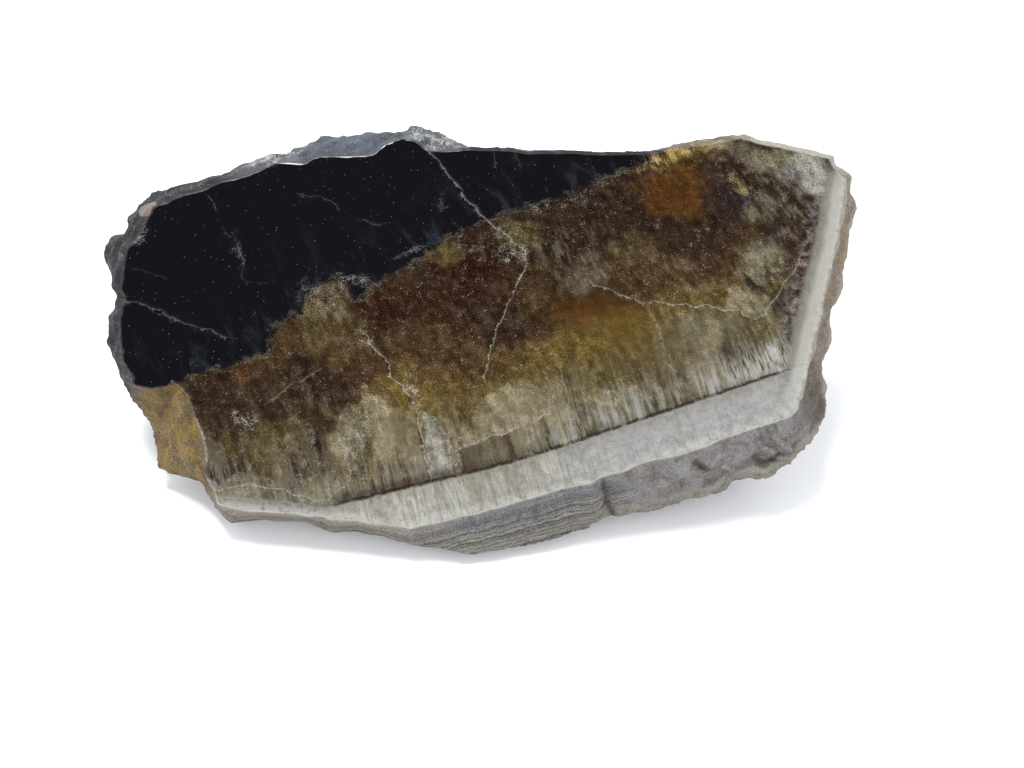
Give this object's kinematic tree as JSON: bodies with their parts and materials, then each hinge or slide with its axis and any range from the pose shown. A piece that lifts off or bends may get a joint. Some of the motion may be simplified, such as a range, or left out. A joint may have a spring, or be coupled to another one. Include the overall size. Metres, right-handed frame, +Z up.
{
  "type": "botryoidal citrine specimen",
  "caption": "Wedge-shaped piece of banded smoky-golden quartz with one sloping polished face, a layered rim, broken edges and a lumpy crust that rests on a flat foot.",
  "frame": {"origin": "on the ground below the middle of the stone", "axes": "+X along the stone's length, +Y from the low front of the polished face towards its high back, +Z up"},
  "size_m": [0.0924, 0.0506, 0.0292],
  "materials": {
    "citrine": "polished"
  },
  "bodies": {
    "root": {"citrine_stone": "citrine"}
  },
  "joints": []
}
